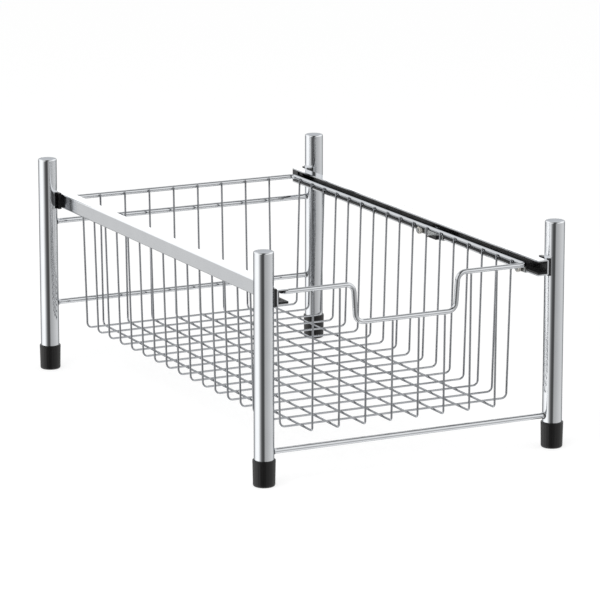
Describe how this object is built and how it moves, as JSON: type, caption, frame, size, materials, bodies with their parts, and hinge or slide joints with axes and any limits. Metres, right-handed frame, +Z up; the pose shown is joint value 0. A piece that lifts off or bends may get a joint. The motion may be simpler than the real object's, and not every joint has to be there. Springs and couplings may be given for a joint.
{
  "type": "pull out cabinet basket",
  "caption": "Chromed wire basket with a lowered front that rolls out of a tube frame on channel rails, for storage inside a kitchen cabinet.",
  "frame": {"origin": "on the cabinet floor, midway between the four feet", "axes": "+Z up, +Y towards the back of the cabinet, +X to the right seen from the front; the basket pulls out towards -Y"},
  "size_m": [0.3116, 0.4976, 0.21],
  "materials": {
    "frame_chrome": "bright chrome plated tube",
    "rail_chrome": "bright chrome plated sheet",
    "wire_chrome": "bright chrome plated wire",
    "zinc_steel": "zinc plated steel",
    "black_plastic": "satin black plastic",
    "roller_plastic": "satin black plastic",
    "natural_nylon": "natural white nylon",
    "foot_rubber": "matte black rubber"
  },
  "bodies": {
    "frame": {"front_bottom_bar": "frame_chrome", "front_left_end_spacer": "black_plastic", "front_left_foot": "foot_rubber", "front_left_post": "frame_chrome", "front_left_post_cap": "frame_chrome", "front_left_saddle": "rail_chrome", "front_left_spacer": "black_plastic", "front_right_end_spacer": "black_plastic", "front_right_foot": "foot_rubber", "front_right_post": "frame_chrome", "front_right_post_cap": "frame_chrome", "front_right_saddle": "rail_chrome", "front_right_spacer": "black_plastic", "left_front_bracket": "zinc_steel", "left_lower_runner": "black_plastic", "left_middle_bracket": "zinc_steel", "left_rail": "rail_chrome", "left_rail_end_plug": "black_plastic", "left_stop_pad": "black_plastic", "left_upper_runner": "black_plastic", "left_web_strip": "black_plastic", "rear_left_end_spacer": "black_plastic", "rear_left_foot": "foot_rubber", "rear_left_post": "frame_chrome", "rear_left_post_cap": "frame_chrome", "rear_left_saddle": "rail_chrome", "rear_left_spacer": "black_plastic", "rear_lower_bar": "frame_chrome", "rear_right_end_spacer": "black_plastic", "rear_right_foot": "foot_rubber", "rear_right_post": "frame_chrome", "rear_right_post_cap": "frame_chrome", "rear_right_saddle": "rail_chrome", "rear_right_spacer": "black_plastic", "rear_upper_bar": "frame_chrome", "right_front_bracket": "zinc_steel", "right_lower_runner": "black_plastic", "right_middle_bracket": "zinc_steel", "right_rail": "rail_chrome", "right_rail_end_plug": "black_plastic", "right_stop_pad": "black_plastic", "right_upper_runner": "black_plastic", "right_web_strip": "black_plastic", "support_roller_pins": "zinc_steel"},
    "basket": {"basket_rim": "wire_chrome", "basket_cross_wires": "wire_chrome", "basket_lengthwise_wires": "wire_chrome", "left_rear_axle": "zinc_steel", "right_rear_axle": "zinc_steel"},
    "left_front_support_roller": {"left_front_support_roller": "natural_nylon"},
    "left_middle_support_roller": {"left_middle_support_roller": "natural_nylon"},
    "left_rear_roller": {"left_rear_roller": "roller_plastic"},
    "right_front_support_roller": {"right_front_support_roller": "natural_nylon"},
    "right_middle_support_roller": {"right_middle_support_roller": "natural_nylon"},
    "right_rear_roller": {"right_rear_roller": "roller_plastic"}
  },
  "joints": [
    {"name": "basket_slide", "type": "slide", "parent": "frame", "child": "basket", "axis": [0, -1, 0], "range_m": [0, 0.2816]},
    {"name": "left_middle_roller_spin", "type": "hinge", "parent": "frame", "child": "left_middle_support_roller", "pos_m": [-0.1221, -0.028, 0.1636], "axis": [1, 0, 0], "continuous": true},
    {"name": "left_front_roller_spin", "type": "hinge", "parent": "frame", "child": "left_front_support_roller", "pos_m": [-0.1221, -0.214, 0.1636], "axis": [1, 0, 0], "continuous": true},
    {"name": "left_rear_roller_spin", "type": "hinge", "parent": "basket", "child": "left_rear_roller", "pos_m": [-0.1286, 0.229, 0.1694], "axis": [1, 0, 0], "continuous": true},
    {"name": "right_middle_roller_spin", "type": "hinge", "parent": "frame", "child": "right_middle_support_roller", "pos_m": [0.1221, -0.028, 0.1636], "axis": [1, 0, 0], "continuous": true},
    {"name": "right_front_roller_spin", "type": "hinge", "parent": "frame", "child": "right_front_support_roller", "pos_m": [0.1221, -0.214, 0.1636], "axis": [1, 0, 0], "continuous": true},
    {"name": "right_rear_roller_spin", "type": "hinge", "parent": "basket", "child": "right_rear_roller", "pos_m": [0.1286, 0.229, 0.1694], "axis": [1, 0, 0], "continuous": true}
  ],
  "couplings": [
    {"joint": "left_middle_roller_spin", "follows": "basket_slide", "rad_per_m": 285.71},
    {"joint": "left_front_roller_spin", "follows": "basket_slide", "rad_per_m": 285.71},
    {"joint": "left_rear_roller_spin", "follows": "basket_slide", "rad_per_m": 222.22},
    {"joint": "right_middle_roller_spin", "follows": "basket_slide", "rad_per_m": 285.71},
    {"joint": "right_front_roller_spin", "follows": "basket_slide", "rad_per_m": 285.71},
    {"joint": "right_rear_roller_spin", "follows": "basket_slide", "rad_per_m": 222.22}
  ]
}
